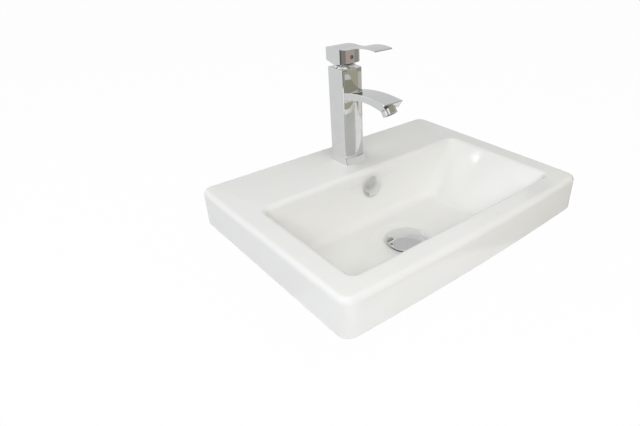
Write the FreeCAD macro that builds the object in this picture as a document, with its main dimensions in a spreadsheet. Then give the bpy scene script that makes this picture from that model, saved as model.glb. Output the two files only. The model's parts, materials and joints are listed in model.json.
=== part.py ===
"""Cabinet basin with a single-lever mixer, an overflow cover and a click waste.

Millimetres, +Z up, +Y towards the wall. The origin is the middle of the ring on which the
apron sits on the cabinet, so z = 0 is the cabinet top and the rim lies at apron_height.
"""
import FreeCAD, Part
import math
import os
import re

import Sketcher
from FreeCAD import Placement, Rotation, Vector

SIZES = {
    # ceramic: apron and deck
    "basin_width": 500,
    "basin_depth": 375,
    "front_bow": 5.6,
    "plan_corner": 18,
    "apron_height": 61,
    "apron_wall": 11,
    "deck_thickness": 13,
    "rim_round": 8.5,
    "foot_round": 2.5,
    # ceramic: bowl
    "side_margin": 37.5,
    "back_margin": 127,
    "front_margin": 35,
    "bowl_bow": 1.2,
    "bowl_corner": 11,
    "bowl_rim_round": 9,
    "bowl_depth": 99,
    "bowl_wall": 11,
    "side_slope": 68.5,
    "back_slope": 6,
    "front_slope": 28.5,
    "floor_corner": 26,
    "floor_round": 15,
    "dish_radius": 62,
    "dish_fall": 4,
    # ceramic: waste boss and overflow duct
    "waste_hole_radius": 23,
    "boss_radius": 35,
    "boss_thickness": 24,
    "duct_width": 52,
    "duct_wall": 8,
    "duct_round": 5,
    "channel_width": 36,
    "channel_gap": 11,
    "channel_top": 17,
    "channel_drop": 6,
    "overflow_drop": 31,
    "overflow_hole_radius": 11.5,
    # overflow cover
    "sleeve_length": 10,
    "sleeve_wall": 1.4,
    "sleeve_lip_radius": 14,
    "sleeve_lip": 1.2,
    "cover_radius": 18,
    "cover_standoff": 2,
    "cover_edge": 2,
    "cover_rise": 1.6,
    "cover_skirt_wall": 1.5,
    "cover_skirt_depth": 8,
    "cover_window": 9,
    "push_fit": 0.1,
    # click waste
    "waste_seal_thickness": 1.5,
    "flange_radius": 31,
    "flange_thickness": 2.5,
    "throat_radius": 22,
    "throat_depth": 5,
    "tail_radius": 20.95,
    "tail_wall": 2.5,
    "tail_length": 74,
    "tail_end": 26,
    "tail_groove": 2,
    "tail_groove_depth": 0.7,
    "slot_width": 14,
    "bar_width": 5,
    "bar_height": 6,
    "bar_drop": 20,
    "hub_radius": 9.5,
    "thread_play": 0.1,
    "under_seal_radius": 33,
    "under_seal_thickness": 6,
    "slip_washer_radius": 32,
    "slip_washer_thickness": 2,
    "backnut_flats": 56,
    "backnut_height": 10,
    "cap_radius": 35,
    "cap_gap": 1.5,
    "cap_edge": 2.5,
    "cap_rise": 5,
    "cap_lip": 2,
    "cap_boss_radius": 8,
    "cap_seal_inner": 22.8,
    "cap_seal_outer": 28,
    "cap_seal_thickness": 2.5,
    "plunger_radius": 5,
    "plunger_length": 35,
    "plunger_drop": 1,
    "cap_stud_radius": 4,
    "cap_stud_length": 6,
    "slide_play": 0.08,
    "click_guide_radius": 8,
    "click_guide_lip": 1.5,
    "click_guide_depth": 28,
    "click_guide_floor": 1.5,
    "spring_radius": 3.6,
    "spring_wire": 0.9,
    "spring_turns": 5,
    # mixer: plinth, column and spout
    "tap_setback": 68.5,
    "tap_hole_radius": 17.5,
    "plinth_margin": 1.5,
    "plinth_nose": 4.5,
    "plinth_ledge": 0.8,
    "plinth_height": 10.5,
    "plinth_bore": 15,
    "base_seal_inner": 18.2,
    "base_seal_outer": 20.2,
    "base_seal_depth": 2,
    "column_front_width": 40,
    "column_back_width": 45,
    "column_front": 16,
    "column_back": 20,
    "column_bow": 4.2,
    "column_corner": 2,
    "column_top": 164,
    "column_bevel": 1.2,
    "spout_width": 37,
    "spout_reach": 115.5,
    "spout_root_inset": 1,
    "spout_root_round": 6,
    "spout_tip_drop": 32.5,
    "spout_root_drop": 37.6,
    "spout_lip": 1.3,
    "spout_top_radius": 277,
    "spout_end_setback": 8.5,
    "spout_end_drop": 45.3,
    "spout_foot_drop": 51,
    "spout_arch_radius": 150,
    "spout_edge_round": 0.8,
    # mixer: outlet and aerator
    "outlet_setback": 7,
    "outlet_drop": 53.2,
    "outlet_tilt": 35,
    "outlet_radius": 12,
    "outlet_length": 12,
    "aerator_ring": 2.6,
    "aerator_thread": 10.2,
    "aerator_thread_length": 6.4,
    "aerator_bore": 8.6,
    "aerator_lip": 1,
    "aerator_lip_radius": 8,
    "aerator_hole": 1.5,
    "aerator_hole_circle": 5,
    "aerator_holes": 6,
    "aerator_seal": 1.5,
    # mixer: waterways and fixing
    "inlet_radius": 4.2,
    "inlet_depth": 18,
    "inlet_x": 8,
    "inlet_y": 5,
    "waterway_radius": 2.6,
    "waterway_bend_setback": 63.5,
    "waterway_bend_drop": 36,
    "waterway_start_drop": 10.5,
    "fixing_stud_radius": 4,
    "fixing_stud_y": 10.4,
    "fixing_stud_seat": 14,
    "fixing_stud_tail": 16,
    "clamp_radius": 26,
    "clamp_slot": 26,
    "clamp_slot_y": 2,
    "clamp_pad_thickness": 3,
    "clamp_plate_thickness": 2,
    "fixing_nut_flats": 13,
    "fixing_nut_height": 15,
    # mixer: cartridge
    "chamber_radius": 13.4,
    "chamber_depth": 36,
    "nut_bore_radius": 15,
    "nut_bore_depth": 9,
    "cartridge_play": 0.1,
    "cartridge_wall": 1.1,
    "cartridge_roof": 3,
    "cartridge_gasket": 1.5,
    "cartridge_base": 3.5,
    "disc_thickness": 3.5,
    "moving_disc_radius": 9.8,
    "disc_offset": 2.05,
    "mixing_radius": 5.2,
    "mixing_y": 0.85,
    "mixing_depth": 1.8,
    "port_radius": 2,
    "port_x": 5.6,
    "port_y": 3.6,
    "outlet_port_y": 5.2,
    "carrier_height": 6.5,
    "carrier_floor": 0.4,
    "carrier_gap": 0.5,
    "turn_neck_radius": 8.4,
    "turn_play": 0.1,
    "swing_up": 7.4,
    "swing_down": 6.6,
    "swing_play": 0.5,
    "pivot_rise": 1,
    "pin_radius": 1.5,
    "pin_length": 15,
    "pin_play": 0.05,
    "spindle_side": 7,
    "spindle_ball": 3.2,
    "spindle_neck": 2.3,
    "spindle_drop": 12,
    "spindle_shoulder": 6,
    "ball_play": 0.3,
    "nut_height": 7,
    "nut_bore_gap": 1.8,
    "collar_radius": 18.5,
    "collar_top_radius": 12.5,
    "collar_bore": 11,
    "collar_height": 5.5,
    "collar_curve": 14,
    # mixer: lever
    "lever_gap": 4.8,
    "lever_width": 41,
    "lever_tip_width": 34,
    "lever_front": 11,
    "lever_back": 26,
    "lever_bow": 5,
    "lever_keel": 5,
    "lever_wedge": 5,
    "lever_nose": 3,
    "lever_corner": 1.5,
    "lever_back_height": 24.7,
    "lever_crest_radius": 110,
    "lever_dip": 6,
    "lever_dip_climb": 3.1,
    "lever_rise": 36,
    "lever_rise_climb": 7.1,
    "lever_reach": 93,
    "lever_tip_climb": 12.9,
    "paddle_thickness": 1.6,
    "lever_wall": 3.5,
    "lever_roof": 4,
    "socket_boss": 14,
    "socket_foot": 6.2,
    "socket_depth": 11,
    "socket_play": 0.1,
    "socket_slack": 1,
    "grub_radius": 2,
    "grub_rise": 12.6,
    "grub_length": 5,
    "plug_radius": 3.5,
    "plug_depth": 4,
    "plug_stand": 0.4,
}

# sizes that follow from others
DERIVED = {
    "bowl_width": "basin_width - 2 * side_margin",
    "bowl_back": "basin_depth / 2 - back_margin",
    "bowl_front": "basin_depth / 2 - front_margin",
    "floor_width": "bowl_width - 2 * side_slope",
    "floor_back": "bowl_back - back_slope",
    "floor_front": "bowl_front - front_slope",
    "waste_y": "(floor_back - floor_front) / 2",
    "tap_y": "basin_depth / 2 - tap_setback",
}
# heights of the ceramic, above the cabinet top
FLOOR = "apron_height - bowl_depth"
DISH = "apron_height - bowl_depth - dish_fall"
# heights of the waste, above the dish
FLANGE_TOP = "waste_seal_thickness + flange_thickness"
TAIL_BORE = "(tail_radius - tail_wall)"
CAP_FOOT = f"{FLANGE_TOP} + cap_gap"
CAP_ROOF = f"{FLANGE_TOP} + cap_gap + cap_edge"
CLICK_SHOULDER = "-plunger_drop"
# heights of the mixer, above the deck
CHAMBER_FLOOR = "column_top - chamber_depth"
BASE_FOOT = f"{CHAMBER_FLOOR} + cartridge_gasket"
FIXED_DISC_FOOT = f"{BASE_FOOT} + cartridge_base"
MOVING_DISC_FOOT = f"{FIXED_DISC_FOOT} + disc_thickness"
CARRIER_FOOT = f"{MOVING_DISC_FOOT} + disc_thickness"
TURN_FOOT = f"{CARRIER_FOOT} + carrier_height + carrier_gap"
SHOULDER = "column_top - nut_bore_depth"
PIVOT = f"{SHOULDER} + pivot_rise"
LEVER_FOOT = "column_top + lever_gap"
LEVER_BACK_TOP = f"{LEVER_FOOT} + lever_back_height"
SOCKET_ROOF = f"{LEVER_FOOT} + socket_foot + socket_depth"
# radii inside the cartridge
CARTRIDGE = "(chamber_radius - cartridge_play)"
SHELL_BORE = "(chamber_radius - cartridge_play - cartridge_wall)"

doc = FreeCAD.newDocument("cabinet_basin")
sheet = doc.addObject("Spreadsheet::Sheet", "Sizes")
for row, (alias, number) in enumerate(SIZES.items(), start=1):
    sheet.set(f"A{row}", alias)
    sheet.set(f"B{row}", str(number))
    sheet.setAlias(f"B{row}", alias)
doc.recompute()

SUBPARTS = []
Z_AXIS = Vector(0, 0, 1)
START, END, CENTRE = range(1, 4)
Y_LINE, X_LINE = range(-2, 0)
ORIGIN = X_LINE
NEAR = 0.01


def bound(formula):
    """The formula with every derived size written out and every size name pointed at the sheet."""
    def point(word):
        name = word.group()
        if name in DERIVED:
            return f"({bound(DERIVED[name])})"
        return f"Sizes.{name}" if name in SIZES else name
    return re.sub(r"[a-z][a-z_]*", point, formula)


def value(formula):
    """The number that a formula of sizes gives now."""
    return float(sheet.evalExpression(bound(formula)))


def tie(thing, path, formula):
    """Binds one property of an object to a formula of sizes."""
    thing.setExpression(path, bound(formula))


def place(thing, x="0", y="0", z="0", tilt=None):
    """Places an object by formulas; tilt turns it about the X axis, in degrees."""
    if tilt is not None:
        thing.Placement = Placement(Vector(), Rotation(Vector(1, 0, 0), value(tilt)))
        tie(thing, "Placement.Rotation.Angle", tilt)
    for axis, formula in zip("xyz", (x, y, z)):
        tie(thing, f"Placement.Base.{axis}", formula)


def new_body(label, **where):
    """An empty body that becomes the sub-part of that name."""
    body = doc.addObject("PartDesign::Body", label)
    body.Label = label
    place(body, **where)
    SUBPARTS.append(body)
    return body


def new_sketch(body, name, plane, offset="0"):
    """An empty sketch on one of the body's own planes, offset along that plane's normal."""
    sketch = body.newObject("Sketcher::SketchObject", name)
    support = next(item for item in body.Origin.OriginFeatures if item.Role == plane)
    sketch.AttachmentSupport = [(support, "")]
    sketch.MapMode = "FlatFace"
    tie(sketch, "AttachmentOffset.Base.z", offset)
    return sketch


def dimension(sketch, formula, *described):
    """Adds a constraint whose last number is bound to a formula."""
    index = sketch.addConstraint(Sketcher.Constraint(*described, value(formula)))
    tie(sketch, f"Constraints[{index}]", formula)


def locate(sketch, geometry, end, u=None, v=None):
    """Holds one point of a sketch at formula coordinates."""
    for kind, axis, formula in (("DistanceX", Y_LINE, u), ("DistanceY", X_LINE, v)):
        if formula == "0":
            sketch.addConstraint(Sketcher.Constraint("PointOnObject", geometry, end, axis))
        elif formula is not None:
            dimension(sketch, formula, kind, ORIGIN, START, geometry, end)


def add_arc(sketch, centre, first, last):
    """Adds the shorter arc from first to last; returns its ends in that order."""
    turn = (first - centre).cross(last - centre).z
    ordered = (first, last) if turn > 0 else (last, first)
    angles = [math.atan2(point.y - centre.y, point.x - centre.x) for point in ordered]
    if angles[1] < angles[0]:
        angles[1] += 2 * math.pi
    circle = Part.Circle(centre, Z_AXIS, (first - centre).Length)
    sketch.addGeometry(Part.ArcOfCircle(circle, *angles))
    return (START, END) if turn > 0 else (END, START)


def arc_centre(first, last, radius, side):
    """Centre of the arc from first to last; side +1 puts it on the left."""
    chord = last - first
    reach = math.sqrt(radius ** 2 - (chord.Length / 2) ** 2)
    return (first + last) / 2 + Z_AXIS.cross(chord).normalize() * (side * reach)


def closed_profile(body, name, plane, corners, offset="0"):
    """Closed sketch through corners (u, v); a corner (u, v, radius, side) starts an arc."""
    sketch = new_sketch(body, name, plane, offset)
    points = [Vector(value(corner[0]), value(corner[1]), 0) for corner in corners]
    ends = []
    for index, corner in enumerate(corners):
        first, last = points[index], points[(index + 1) % len(points)]
        if len(corner) == 2:
            sketch.addGeometry(Part.LineSegment(first, last))
            ends.append((START, END))
        else:
            centre = arc_centre(first, last, value(corner[2]), corner[3])
            ends.append(add_arc(sketch, centre, first, last))
    for index in range(len(corners)):
        following = (index + 1) % len(corners)
        joint = Sketcher.Constraint("Coincident", index, ends[index][1], following, ends[following][0])
        sketch.addConstraint(joint)
    for index, corner in enumerate(corners):
        locate(sketch, index, ends[index][0], corner[0], corner[1])
        if len(corner) > 2:
            dimension(sketch, corner[2], "Radius", index)
    return sketch


def box_corners(left, right, low, high):
    """Corners of an upright rectangle, for closed_profile."""
    return [(left, low), (right, low), (right, high), (left, high)]


def bow_radius(width, bow):
    """Radius of the arc that rises by bow over a chord of that width."""
    return f"(({width}) ^ 2 / 4 + ({bow}) ^ 2) / (2 * ({bow}))"


def circles(body, name, plane, rounds, offset="0"):
    """Sketch of circles (u, v, radius)."""
    sketch = new_sketch(body, name, plane, offset)
    for index, (u, v, radius) in enumerate(rounds):
        sketch.addGeometry(Part.Circle(Vector(value(u), value(v), 0), Z_AXIS, value(radius)))
        locate(sketch, index, CENTRE, u, v)
        dimension(sketch, radius, "Radius", index)
    return sketch


def bowed_outline(body, name, offset, width, back, front, bow, corner):
    """Rounded rectangle in plan whose front side is a shallow arc, held by tangency."""
    sketch = new_sketch(body, name, "XY_Plane", offset)
    half, y_back, fillet = value(width) / 2, value(back), value(corner)
    sweep_formula = bow_radius(width, bow)
    sweep = value(sweep_formula)
    centre = Vector(0, value(front) - value(bow) + sweep, 0)
    inner = half - fillet
    corner_y = centre.y - math.sqrt((sweep - fillet) ** 2 - inner ** 2)
    reach = sweep / (sweep - fillet)
    touch_x, touch_y = inner * reach, centre.y + (corner_y - centre.y) * reach
    stations = [
        Vector(half, corner_y, 0), Vector(half, y_back - fillet, 0),
        Vector(inner, y_back, 0), Vector(-inner, y_back, 0),
        Vector(-half, y_back - fillet, 0), Vector(-half, corner_y, 0),
        Vector(-touch_x, touch_y, 0), Vector(touch_x, touch_y, 0),
    ]
    middles = {
        1: Vector(inner, y_back - fillet, 0), 3: Vector(-inner, y_back - fillet, 0),
        5: Vector(-inner, corner_y, 0), 6: centre, 7: Vector(inner, corner_y, 0),
    }
    count = len(stations)
    for index, first in enumerate(stations):
        last = stations[(index + 1) % count]
        if index in middles:
            add_arc(sketch, middles[index], first, last)
        else:
            sketch.addGeometry(Part.LineSegment(first, last))
    for index in range(count):
        sketch.addConstraint(Sketcher.Constraint("Tangent", index, END, (index + 1) % count, START))
    for index, direction in ((0, "Vertical"), (4, "Vertical"), (2, "Horizontal")):
        sketch.addConstraint(Sketcher.Constraint(direction, index))
    locate(sketch, 0, START, u=f"({width}) / 2")
    locate(sketch, 4, START, u=f"-({width}) / 2")
    locate(sketch, 2, START, v=back)
    for index in (1, 3, 5, 7):
        dimension(sketch, corner, "Radius", index)
    dimension(sketch, sweep_formula, "Radius", 6)
    locate(sketch, 6, CENTRE, "0", f"({front}) - ({bow}) + {sweep_formula}")
    return sketch


def grow(body, name, sketch, length, backwards=False, midplane=False):
    """Pads a sketch by a formula length."""
    feature = body.newObject("PartDesign::Pad", name)
    feature.Profile = sketch
    feature.Reversed = backwards
    feature.Midplane = midplane
    tie(feature, "Length", length)
    doc.recompute()
    return feature


def carve(body, name, sketch, depth, backwards=False, midplane=False):
    """Pockets a sketch and checks that the cut took material away."""
    before = body.Shape.Volume
    feature = body.newObject("PartDesign::Pocket", name)
    feature.Profile = sketch
    feature.Reversed = backwards
    feature.Midplane = midplane
    tie(feature, "Length", depth)
    doc.recompute()
    if not body.Shape.Volume < before - NEAR:
        raise RuntimeError(f"{body.Label}: {name} cut nothing")
    return feature


def carve_up(body, name, sketch, depth):
    """Pocket that runs upwards from a sketch in plan."""
    return carve(body, name, sketch, depth, backwards=True)


def spin(body, name, sketch):
    """Turns a sketch in the XZ plane about the body's Z axis."""
    feature = body.newObject("PartDesign::Revolution", name)
    feature.Profile = sketch
    feature.ReferenceAxis = (sketch, ["V_Axis"])
    feature.Angle = 360
    doc.recompute()
    return feature


def loft(body, name, sketches, cuts):
    """Ruled loft through sketches, added or cut."""
    kind = "SubtractiveLoft" if cuts else "AdditiveLoft"
    feature = body.newObject(f"PartDesign::{kind}", name)
    feature.Profile = sketches[0]
    feature.Sections = sketches[1:]
    feature.Ruled = True
    doc.recompute()
    return feature


def rod(body, name, radius, height, cuts, **where):
    """Cylinder added to or cut from a body, placed by formulas."""
    kind = "SubtractiveCylinder" if cuts else "AdditiveCylinder"
    feature = body.newObject(f"PartDesign::{kind}", name)
    tie(feature, "Radius", radius)
    tie(feature, "Height", height)
    place(feature, **where)
    doc.recompute()
    return feature


def round_edges(body, name, chosen, radius, kind="Fillet"):
    """Fillets or chamfers the edges of the body that pass the test."""
    base = body.Tip
    names = [f"Edge{i}" for i, edge in enumerate(base.Shape.Edges, start=1) if chosen(edge)]
    feature = body.newObject(f"PartDesign::{kind}", name)
    feature.Base = (base, names)
    tie(feature, "Radius" if kind == "Fillet" else "Size", radius)
    doc.recompute()
    if not feature.isValid():
        raise RuntimeError(f"{body.Label}: {name} failed on {len(names)} edges")
    return feature


def middle(edge):
    """Point halfway along an edge."""
    return edge.valueAt((edge.FirstParameter + edge.LastParameter) / 2)


def at_height(formula):
    """Test for edges whose middle lies at a height of the body."""
    level = value(formula)
    return lambda edge: abs(middle(edge).z - level) < NEAR


def upright(edge):
    """True for straight edges along Z."""
    ends = edge.Vertexes
    if len(ends) < 2 or edge.Curve.TypeId != "Part::GeomLine":
        return False
    run = ends[1].Point - ends[0].Point
    return abs(run.x) < NEAR and abs(run.y) < NEAR


def turned(label, corners, **where):
    """A round piece: its half section (radius, height) turned about Z."""
    body = new_body(label, **where)
    spin(body, "turning", closed_profile(body, "half_section", "XZ_Plane", corners))
    return body


def ring(label, inner, outer, low, high, **where):
    """A plain ring between two radii and two heights."""
    return turned(label, box_corners(inner, outer, low, high), **where)


def hexagon(flats):
    """Corners of a hexagon, from its width across the flats."""
    corners = []
    for step in range(6):
        turn = 60 * step
        corners.append((f"{flats} / 2 / cos(30) * cos({turn})", f"{flats} / 2 / cos(30) * sin({turn})"))
    return [tuple("0" if step in (0, 3) and axis else text for axis, text in enumerate(corner))
            for step, corner in enumerate(corners)]


def wall_y(depth):
    """Where the bowl's back wall stands, at a depth below the rim."""
    return f"bowl_back - (bowl_back - floor_back) * ({depth}) / bowl_depth"


def into_wall(distance):
    """Spot on the overflow's axis, counted from the bowl's face into the wall."""
    lean = "atan((bowl_back - floor_back) / bowl_depth)"
    return {
        "y": f"{wall_y('overflow_drop')} + ({distance}) * cos({lean})",
        "z": f"apron_height - overflow_drop - ({distance}) * sin({lean})",
        "tilt": f"90 deg - {lean}",
    }


def inside_rim(edge):
    """True for edges within the bowl's rim outline in plan."""
    point = middle(edge)
    if abs(point.x) > value("bowl_width / 2") + NEAR:
        return False
    return value("-bowl_front - bowl_bow") - NEAR < point.y < value("bowl_back") + NEAR


def is_duct_edge(edge):
    """True for the outer edges of the overflow duct, down its back and along its foot."""
    point = middle(edge)
    on_side = abs(abs(point.x) - value("duct_width / 2")) < NEAR
    foot = value(f"{DISH} - boss_thickness")
    down_back = edge.BoundBox.ZLength > value("bowl_depth / 2") and point.y > value("bowl_back + bowl_wall")
    across_foot = abs(point.z - foot) < NEAR and abs(point.x) < NEAR and point.y > value("floor_back")
    along_foot = on_side and abs(point.z - foot) < NEAR
    return on_side and down_back or across_foot or along_foot


def ceramic_basin():
    """The one-piece glazed basin: apron, deck, bowl, waste boss and overflow duct."""
    body = new_body("ceramic_basin")
    outline = bowed_outline(body, "outline", "0", "basin_width", "basin_depth / 2", "-basin_depth / 2",
                            "front_bow", "plan_corner")
    grow(body, "apron", outline, "apron_height")
    round_edges(body, "rim_rounding", at_height("apron_height"), "rim_round")
    round_edges(body, "foot_rounding", at_height("0"), "foot_round")
    hollow = bowed_outline(body, "hollow_outline", "0", "basin_width - 2 * apron_wall",
                           "basin_depth / 2 - apron_wall", "apron_wall - basin_depth / 2",
                           "front_bow", "max(plan_corner - apron_wall; apron_wall / 2)")
    carve_up(body, "hollow", hollow, "apron_height - deck_thickness")

    floor_bow = "bowl_bow * floor_width / bowl_width"
    shell = [
        bowed_outline(body, "shell_top", "apron_height - deck_thickness / 2", "bowl_width + 2 * bowl_wall",
                      "bowl_back + bowl_wall", "-bowl_front - bowl_wall", "bowl_bow",
                      "bowl_corner + bowl_wall"),
        bowed_outline(body, "shell_foot", f"{FLOOR} - bowl_wall", "floor_width + 2 * bowl_wall",
                      "floor_back + bowl_wall", "-floor_front - bowl_wall", floor_bow,
                      "floor_corner + bowl_wall"),
    ]
    loft(body, "bowl_shell", shell, cuts=False)
    round_edges(body, "shell_rounding", at_height(f"{FLOOR} - bowl_wall"), "floor_round + bowl_wall / 2")

    boss_foot = f"{DISH} - boss_thickness"
    boss_depth = "bowl_depth + dish_fall + boss_thickness"
    boss = circles(body, "boss_circle", "XY_Plane", [("0", "waste_y", "boss_radius")], boss_foot)
    grow(body, "waste_boss", boss, "boss_thickness")
    duct_reach = "bowl_wall + channel_gap + duct_wall"
    duct = closed_profile(body, "duct_outline", "YZ_Plane", [
        ("bowl_back", "apron_height - deck_thickness / 2"),
        (f"bowl_back + {duct_reach}", "apron_height - deck_thickness / 2"),
        (f"{wall_y(boss_depth)} + {duct_reach}", boss_foot),
        ("waste_y", boss_foot),
        ("waste_y", f"{FLOOR} - bowl_wall / 2"),
        ("floor_back", f"{FLOOR} - bowl_wall / 2"),
    ])
    grow(body, "overflow_duct", duct, "duct_width", midplane=True)
    round_edges(body, "duct_rounding", is_duct_edge, "duct_round")

    cavity = [
        bowed_outline(body, "bowl_rim", "apron_height", "bowl_width", "bowl_back", "-bowl_front",
                      "bowl_bow", "bowl_corner"),
        bowed_outline(body, "bowl_floor", FLOOR, "floor_width", "floor_back", "-floor_front", floor_bow,
                      "floor_corner"),
    ]
    loft(body, "bowl", cavity, cuts=True)
    on_floor, on_rim = at_height(FLOOR), at_height("apron_height")
    round_edges(body, "floor_rounding", lambda e: on_floor(e) and inside_rim(e), "floor_round")
    round_edges(body, "bowl_rim_rounding", lambda e: on_rim(e) and inside_rim(e), "bowl_rim_round")

    channel_roof = f"{DISH} - channel_drop"
    channel_floor = f"{DISH} - boss_thickness + duct_wall"
    roof_depth = "(bowl_depth + dish_fall + channel_drop)"
    floor_depth = "(bowl_depth + dish_fall + boss_thickness - duct_wall)"
    channel = closed_profile(body, "channel_outline", "YZ_Plane", [
        (f"{wall_y('channel_top')} + bowl_wall", "apron_height - channel_top"),
        (f"{wall_y('channel_top')} + bowl_wall + channel_gap", "apron_height - channel_top"),
        (f"{wall_y(floor_depth)} + bowl_wall + channel_gap", channel_floor),
        ("waste_y", channel_floor),
        ("waste_y", channel_roof),
        (f"{wall_y(roof_depth)} + bowl_wall", channel_roof),
    ])
    carve(body, "overflow_channel", channel, "channel_width", midplane=True)
    rod(body, "overflow_hole", "overflow_hole_radius", "2 * bowl_wall + channel_gap", True,
        **into_wall("bowl_wall + channel_gap / 2"))

    dish = body.newObject("PartDesign::SubtractiveCone", "dish")
    for size, formula in (("Radius1", "flange_radius"), ("Radius2", "dish_radius"), ("Height", "dish_fall")):
        tie(dish, size, formula)
    place(dish, y="waste_y", z=DISH)
    doc.recompute()
    waste_hole = circles(body, "waste_circle", "XY_Plane", [("0", "waste_y", "waste_hole_radius")], boss_foot)
    carve_up(body, "waste_hole", waste_hole, "boss_thickness + dish_fall")
    tap_hole = circles(body, "tap_circle", "XY_Plane", [("0", "tap_y", "tap_hole_radius")], "apron_height")
    carve(body, "tap_hole", tap_hole, "deck_thickness")


def overflow_cover():
    """Sleeve in the overflow hole and the domed cover that stands off it on four legs."""
    spot = into_wall("0")
    outer = "(overflow_hole_radius - push_fit)"
    bore = "(overflow_hole_radius - push_fit - sleeve_wall)"
    turned("overflow_sleeve", [
        (bore, "-sleeve_length"), (outer, "-sleeve_length"), (outer, "0"), ("sleeve_lip_radius", "0"),
        ("sleeve_lip_radius", "sleeve_lip"), (bore, "sleeve_lip"),
    ], **spot)
    skirt = f"({bore} - push_fit)"
    back = "sleeve_lip + cover_standoff"
    cover = turned("overflow_cover", [
        ("0", back), (f"{skirt} - cover_skirt_wall", back),
        (f"{skirt} - cover_skirt_wall", "-cover_skirt_depth"),
        (skirt, "-cover_skirt_depth"), (skirt, back), ("cover_radius", back),
        ("cover_radius", f"{back} + cover_edge", bow_radius("2 * cover_radius", "cover_rise"), 1),
        ("0", f"{back} + cover_edge + cover_rise"),
    ], **spot)
    half, reach = "cover_window / 2", "overflow_hole_radius"
    for name, corners in (("window_across", box_corners(f"-{reach}", reach, f"-{half}", half)),
                          ("window_along", box_corners(f"-{half}", half, f"-{reach}", reach))):
        window = closed_profile(cover, f"{name}_outline", "XY_Plane", corners, "sleeve_lip")
        carve_up(cover, name, window, "cover_standoff")


def click_waste():
    """Flanged tail in the waste hole with its seals, back nut, dome cap and click mechanism."""
    spot = {"y": "waste_y", "z": DISH}
    tail = turned("waste_body", [
        (TAIL_BORE, "-tail_length"), ("tail_radius", "-tail_length"),
        ("tail_radius", "tail_end - tail_length"),
        ("tail_radius - tail_groove_depth", "tail_end - tail_length"),
        ("tail_radius - tail_groove_depth", "tail_end + tail_groove - tail_length"),
        ("tail_radius", "tail_end + tail_groove - tail_length"), ("tail_radius", "waste_seal_thickness"),
        ("flange_radius", "waste_seal_thickness"), ("flange_radius", FLANGE_TOP),
        ("throat_radius", FLANGE_TOP),
        (TAIL_BORE, f"{FLANGE_TOP} - throat_depth"),
    ], **spot)
    reach = f"({TAIL_BORE} + tail_wall / 2)"
    for name, corners in (("bar_across", box_corners(f"-{reach}", reach, "-bar_width / 2", "bar_width / 2")),
                          ("bar_along", box_corners("-bar_width / 2", "bar_width / 2", f"-{reach}", reach))):
        bar = closed_profile(tail, f"{name}_outline", "XY_Plane", corners, "-bar_drop - bar_height")
        grow(tail, name, bar, "bar_height")
    hub = circles(tail, "hub_circle", "XY_Plane", [("0", "0", "hub_radius")], "-bar_drop - bar_height")
    grow(tail, "hub", hub, "bar_height")
    hub_hole = circles(tail, "hub_hole_circle", "XY_Plane", [("0", "0", "click_guide_radius + slide_play")],
                       "-bar_drop")
    carve(tail, "hub_hole", hub_hole, "bar_height")
    slot_low, slot_high = "duct_wall - boss_thickness", "-channel_drop"
    slots = closed_profile(tail, "slot_outline", "XZ_Plane",
                           box_corners("-slot_width / 2", "slot_width / 2", slot_low, slot_high))
    carve(tail, "overflow_slots", slots, "4 * tail_radius", midplane=True)

    clear = "tail_radius + thread_play"
    ring("waste_top_seal", clear, "flange_radius", "0", "waste_seal_thickness", **spot)
    seal_foot = "-boss_thickness - under_seal_thickness"
    ring("waste_under_seal", clear, "under_seal_radius", seal_foot, "-boss_thickness", **spot)
    washer_foot = f"{seal_foot} - slip_washer_thickness"
    ring("waste_slip_washer", clear, "slip_washer_radius", washer_foot, seal_foot, **spot)
    nut = new_body("waste_backnut", **spot)
    nut_foot = f"{washer_foot} - backnut_height"
    grow(nut, "nut", closed_profile(nut, "hexagon", "XY_Plane", hexagon("backnut_flats"), nut_foot),
         "backnut_height")
    thread = circles(nut, "thread_circle", "XY_Plane", [("0", "0", clear)], nut_foot)
    carve_up(nut, "thread", thread, "backnut_height")

    seal_top = f"{FLANGE_TOP} + cap_seal_thickness"
    turned("waste_cap", [
        ("0", f"{CAP_ROOF} + cap_rise - cap_lip"), ("cap_stud_radius", f"{CAP_ROOF} + cap_rise - cap_lip"),
        ("cap_stud_radius", CLICK_SHOULDER), ("cap_boss_radius", CLICK_SHOULDER),
        ("cap_boss_radius", CAP_ROOF),
        ("cap_seal_inner", CAP_ROOF), ("cap_seal_inner", seal_top), ("cap_seal_outer", seal_top),
        ("cap_seal_outer", CAP_ROOF), ("cap_radius - cap_lip", CAP_ROOF), ("cap_radius - cap_lip", CAP_FOOT),
        ("cap_radius", CAP_FOOT), ("cap_radius", CAP_ROOF, bow_radius("2 * cap_radius", "cap_rise"), 1),
        ("0", f"{CAP_ROOF} + cap_rise"),
    ], **spot)
    ring("waste_cap_seal", "cap_seal_inner", "cap_seal_outer", FLANGE_TOP, seal_top, **spot)
    plunger_foot = f"{CLICK_SHOULDER} - plunger_length"
    stud_top = f"{CLICK_SHOULDER} + cap_stud_length"
    turned("waste_plunger", [
        ("0", plunger_foot), ("plunger_radius", plunger_foot), ("plunger_radius", CLICK_SHOULDER),
        ("cap_stud_radius - slide_play", CLICK_SHOULDER), ("cap_stud_radius - slide_play", stud_top),
        ("0", stud_top),
    ], **spot)
    bore = "plunger_radius + slide_play"
    guide_foot = "-bar_drop - click_guide_depth"
    turned("waste_click_guide", [
        ("0", guide_foot), ("click_guide_radius", guide_foot), ("click_guide_radius", "-bar_drop"),
        ("hub_radius", "-bar_drop"), ("hub_radius", "click_guide_lip - bar_drop"),
        (bore, "click_guide_lip - bar_drop"), (bore, f"{guide_foot} + click_guide_floor"),
        ("0", f"{guide_foot} + click_guide_floor"),
    ], **spot)
    click_spring(f"{guide_foot} + click_guide_floor", plunger_foot)


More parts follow.
